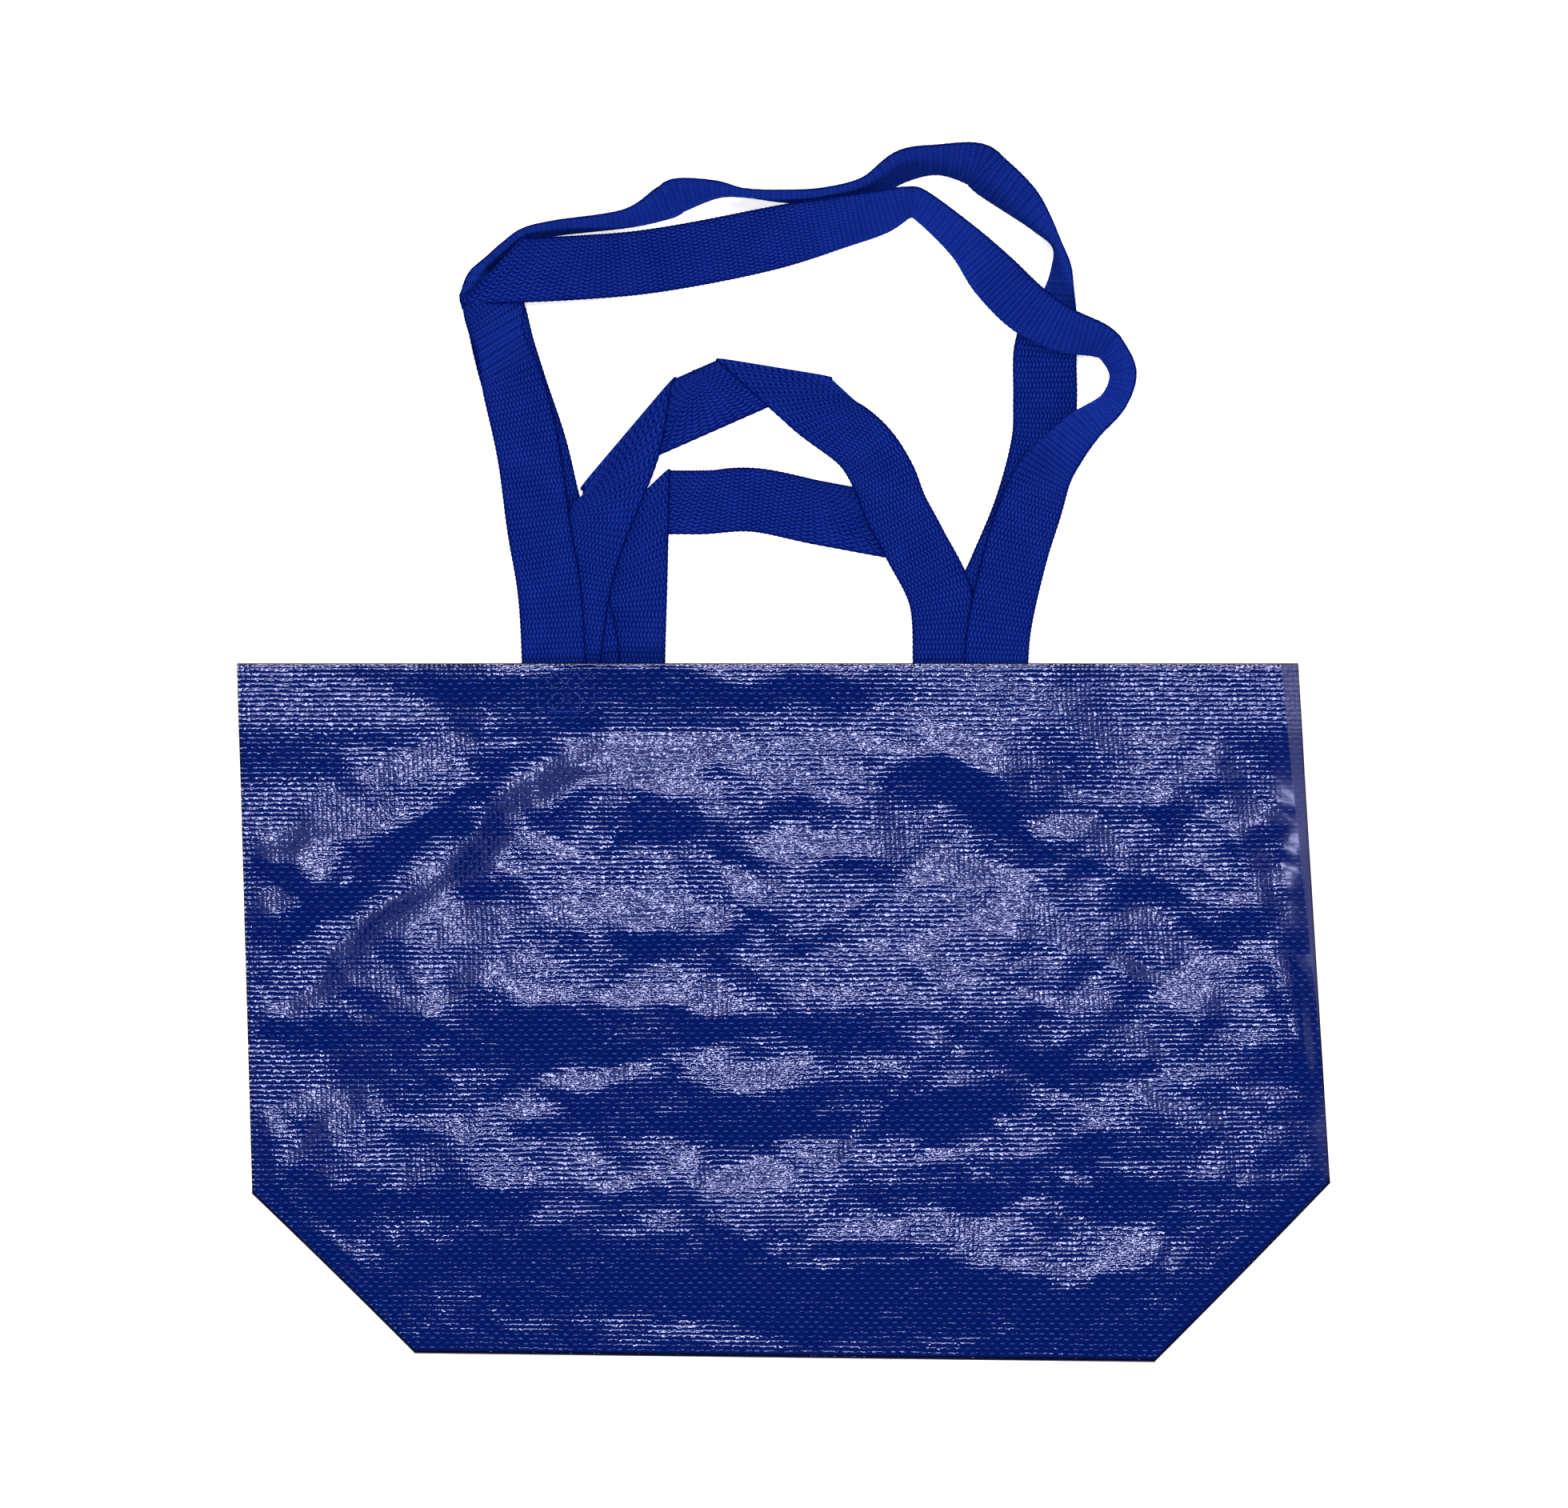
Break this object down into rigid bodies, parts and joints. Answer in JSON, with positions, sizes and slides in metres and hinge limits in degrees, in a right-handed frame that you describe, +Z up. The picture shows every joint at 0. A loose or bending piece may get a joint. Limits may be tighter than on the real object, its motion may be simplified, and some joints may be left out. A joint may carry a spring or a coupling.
{
  "type": "polypropylene shopping bag",
  "caption": "Empty tote of glossy laminated woven polypropylene lying flat, sides folded in and lower corners tucked, with long and short webbing handles.",
  "frame": {"origin": "on the surface that the bag lies on, under the middle of its overall box", "axes": "+Z up out of the front panel, +Y from the bottom edge towards the handles, +X to the right seen from above"},
  "size_m": [0.5124, 0.5704, 0.0366],
  "materials": {
    "laminated_fabric": "glossy film over woven tape",
    "webbing": "woven, low sheen"
  },
  "bodies": {
    "root": {"main_panel": "laminated_fabric", "left_gusset": "laminated_fabric", "right_gusset": "laminated_fabric", "long_handle_front": "webbing", "long_handle_back": "webbing", "short_handle_front": "webbing", "short_handle_back": "webbing"}
  },
  "joints": []
}
